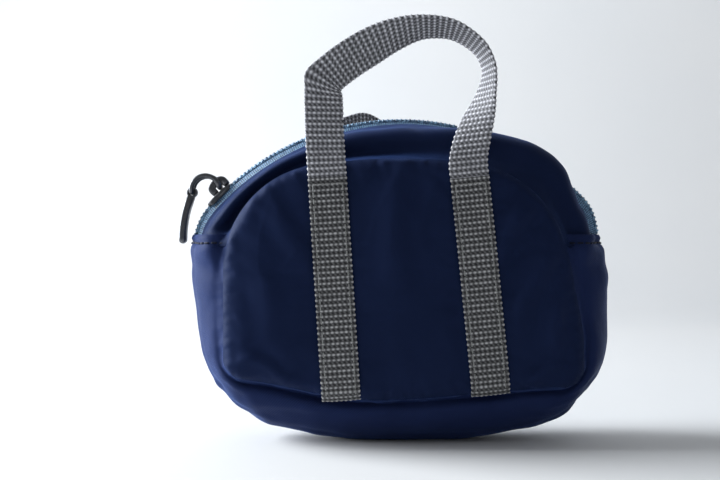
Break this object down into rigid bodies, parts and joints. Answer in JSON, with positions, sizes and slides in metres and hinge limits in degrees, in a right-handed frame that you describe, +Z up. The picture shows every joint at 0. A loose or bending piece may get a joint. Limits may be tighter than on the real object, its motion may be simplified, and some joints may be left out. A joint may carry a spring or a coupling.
{
  "type": "miniature carry case",
  "caption": "Doll-size carry case: arched navy nylon pouch with a coil zip over the top, a slider with link and tab, and two grey webbing grips.",
  "frame": {"origin": "middle of the case's flat base, on the plane it stands on", "axes": "+X to the right along the case's width, +Y from the front panel to the back panel, +Z up"},
  "size_m": [0.1192, 0.0885, 0.1132],
  "materials": {
    "nylon": "satin woven nylon",
    "zip_tape": "woven tape",
    "zip_coil": "nylon monofilament",
    "webbing": "woven webbing",
    "gunmetal": "dark gunmetal plating"
  },
  "bodies": {
    "case": {"lower_gusset": "nylon", "front_panel_lower": "nylon", "back_panel_lower": "nylon", "front_webbing_left_lower": "webbing", "front_webbing_right_lower": "webbing", "front_panel_fold": "nylon", "front_webbing_left_fold": "webbing", "front_webbing_right_fold": "webbing", "back_webbing_left_lower": "webbing", "back_webbing_right_lower": "webbing", "back_panel_fold": "nylon", "back_webbing_left_fold": "webbing", "back_webbing_right_fold": "webbing"},
    "front_mouth": {"front_panel_upper": "nylon", "front_zip_strip": "nylon", "front_zip_tape": "zip_tape", "front_zip_coil": "zip_coil", "front_webbing_left_upper": "webbing", "front_webbing_right_upper": "webbing"},
    "front_handle": {"front_handle_loop": "webbing"},
    "back_mouth": {"back_panel_upper": "nylon", "back_zip_strip": "nylon", "back_zip_tape": "zip_tape", "back_zip_coil": "zip_coil", "back_webbing_left_upper": "webbing", "back_webbing_right_upper": "webbing"},
    "back_handle": {"back_handle_loop": "webbing"},
    "slider": {"slider_body": "gunmetal", "slider_bridge": "gunmetal"},
    "link": {"pull_link": "gunmetal"},
    "tab": {"pull_tab": "gunmetal"}
  },
  "joints": [
    {"name": "mouth_open", "type": "hinge", "parent": "case", "child": "front_mouth", "pos_m": [0, 0, 0.0555], "axis": [1, 0, 0], "range_deg": [0, 15], "deforming": ["front_panel_fold", "front_webbing_left_fold", "front_webbing_right_fold"]},
    {"name": "back_mouth_open", "type": "hinge", "parent": "case", "child": "back_mouth", "pos_m": [0, 0, 0.0555], "axis": [-1, 0, 0], "range_deg": [0, 15], "deforming": ["back_panel_fold", "back_webbing_left_fold", "back_webbing_right_fold"]},
    {"name": "zip_travel", "type": "hinge", "parent": "case", "child": "slider", "pos_m": [0, 0, 0.0177], "axis": [0, 1, 0], "range_deg": [0, 90.8]},
    {"name": "link_swing", "type": "hinge", "parent": "slider", "child": "link", "pos_m": [-0.04979, 0, 0.06908], "axis": [0, 1, 0], "range_deg": [0, 75]},
    {"name": "tab_swing", "type": "hinge", "parent": "link", "child": "tab", "pos_m": [-0.05747, 0, 0.06773], "axis": [0, 1, 0], "range_deg": [0, 100]},
    {"name": "front_handle_swing", "type": "hinge", "parent": "front_mouth", "child": "front_handle", "pos_m": [0, -0.02135, 0.0708], "axis": [1, 0, 0], "range_deg": [0, 150]},
    {"name": "back_handle_swing", "type": "hinge", "parent": "back_mouth", "child": "back_handle", "pos_m": [0, 0.02135, 0.0708], "axis": [-1, 0, 0], "range_deg": [-70, 80]}
  ],
  "couplings": [
    {"joint": "back_mouth_open", "follows": "mouth_open", "ratio": 1},
    {"joint": "zip_travel", "follows": "mouth_open", "ratio": 6.053}
  ]
}
